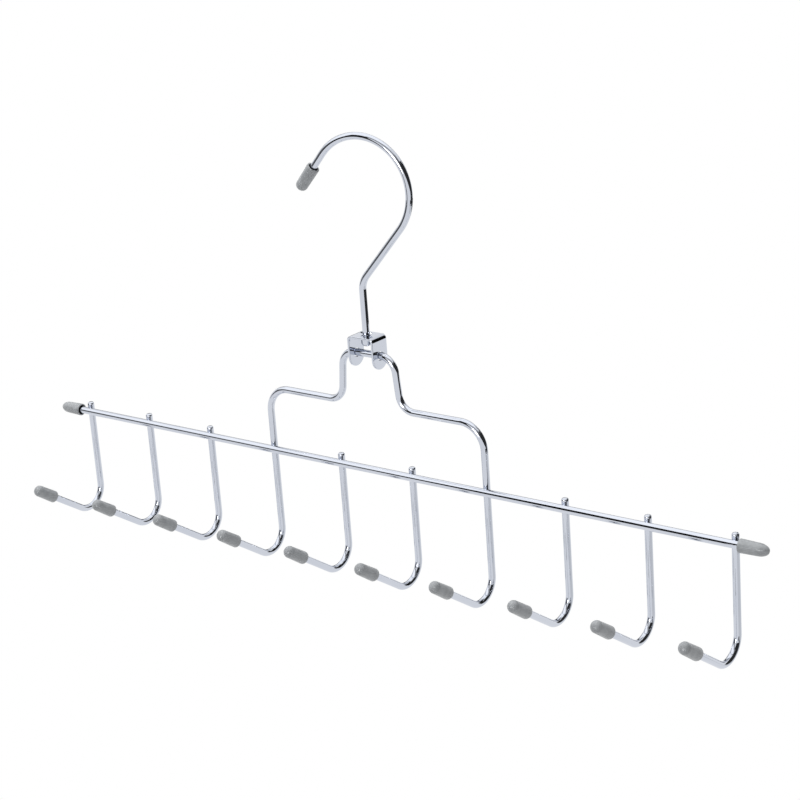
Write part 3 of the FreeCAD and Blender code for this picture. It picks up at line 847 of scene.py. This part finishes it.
def set_card(card, name, grey):
    """Give a flat card its level, and show it in the plating alone."""
    card.name = name
    card.color = (grey, grey, grey, 1)
    card.data.materials.append(material_of("card", card_face))
    card.visible_camera = False
    card.visible_diffuse = False
    card.visible_shadow = False
    card.visible_transmission = False


def hang_lamps():
    """Soft lamps, each with a card for the face that the plating mirrors."""
    for name, azimuth, elevation, distance, size, power, level in LAMPS:
        place = bearing(azimuth, elevation, distance)
        turn = (MIDDLE - place).to_track_quat("-Z", "Y").to_euler()
        lamp = bpy.data.lights.new(name, "AREA")
        lamp.shape = "SQUARE"
        lamp.size = size
        lamp.energy = power
        item = bpy.data.objects.new(name, lamp)
        bpy.context.scene.collection.objects.link(item)
        item.location = place
        item.rotation_euler = turn
        # The plating mirrors the card instead: a lamp's light would be added to the white room behind it
        item.visible_glossy = False
        deselect()
        bpy.ops.mesh.primitive_plane_add(size=size, location=place, rotation=turn)
        bpy.ops.object.transform_apply(location=True, rotation=True, scale=True)
        set_card(bpy.context.object, f"{name}_face", level)


def stand_cards():
    """Black and grey cards round the hanger."""
    for name, distance, grey, left, right in CARDS:
        deselect()
        bpy.ops.mesh.primitive_plane_add(size=1)
        card = bpy.context.object
        for vertex in card.data.vertices:
            turn, low, high = right if vertex.co.x > 0 else left
            vertex.co = bearing(turn, high if vertex.co.y > 0 else low, distance)
        set_card(card, name, grey)


def aim_camera(scene, stage):
    """Camera at the photograph's place, with its small roll and shift."""
    back = Vector((math.sin(stage.azimuth) * math.cos(stage.elevation),
                   -math.cos(stage.azimuth) * math.cos(stage.elevation), math.sin(stage.elevation)))
    right = Vector((math.cos(stage.azimuth), math.sin(stage.azimuth), 0))
    level = Matrix((right, back.cross(right), back)).transposed()
    axes = level @ Matrix.Rotation(stage.roll, 3, "Z")
    aim = box_centre("crossbar") + axes @ Vector((stage.aim_right, stage.aim_up, 0))
    camera = bpy.data.objects.new("camera", bpy.data.cameras.new("camera"))
    scene.collection.objects.link(camera)
    camera.matrix_world = Matrix.Translation(aim + back * stage.distance) @ axes.to_4x4()
    camera.data.lens = stage.lens
    camera.data.sensor_width = SENSOR
    camera.data.shift_x = stage.shift_right
    camera.data.shift_y = stage.shift_up
    camera.data.clip_end = SIGHT
    scene.camera = camera


OPERATORS = (HANGER_OT_crossbar, HANGER_OT_scarf_hooks, HANGER_OT_yoke, HANGER_OT_clip, HANGER_OT_swivel_hook,
             HANGER_OT_bar_caps, HANGER_OT_hook_caps, HANGER_OT_swivel_cap, HANGER_OT_stage)
GROUPS = (("hanger_wire", HangerWire), ("hanger_swivel", HangerSwivel), ("hanger_caps", HangerCaps),
          ("hanger_finish", HangerFinish), ("hanger_stage", HangerStage))


class HANGER_PT_panel(bpy.types.Panel):
    """Buttons for the pieces of the hanger"""
    bl_idname = "HANGER_PT_panel"
    bl_label = "Scarf Hanger"
    bl_space_type = "VIEW_3D"
    bl_region_type = "UI"
    bl_category = "Scarf Hanger"

    def draw(self, context):
        for operator in OPERATORS:
            self.layout.operator(operator.bl_idname)


def register():
    """Register the groups, the operators and the panel."""
    for name, group in GROUPS:
        bpy.utils.register_class(group)
        setattr(bpy.types.Scene, name, bpy.props.PointerProperty(type=group))
    for item in OPERATORS + (HANGER_PT_panel,):
        bpy.utils.register_class(item)


def unregister():
    """Take back what register added."""
    for item in reversed(OPERATORS + (HANGER_PT_panel,)):
        bpy.utils.unregister_class(item)
    for name, group in reversed(GROUPS):
        delattr(bpy.types.Scene, name)
        bpy.utils.unregister_class(group)


def main():
    """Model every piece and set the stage."""
    register()
    bpy.ops.hanger.crossbar()
    bpy.ops.hanger.scarf_hooks()
    bpy.ops.hanger.yoke()
    bpy.ops.hanger.clip()
    bpy.ops.hanger.swivel_hook()
    bpy.ops.hanger.bar_caps()
    bpy.ops.hanger.hook_caps()
    bpy.ops.hanger.swivel_cap()
    bpy.ops.hanger.stage()


if __name__ == "__main__":
    main()
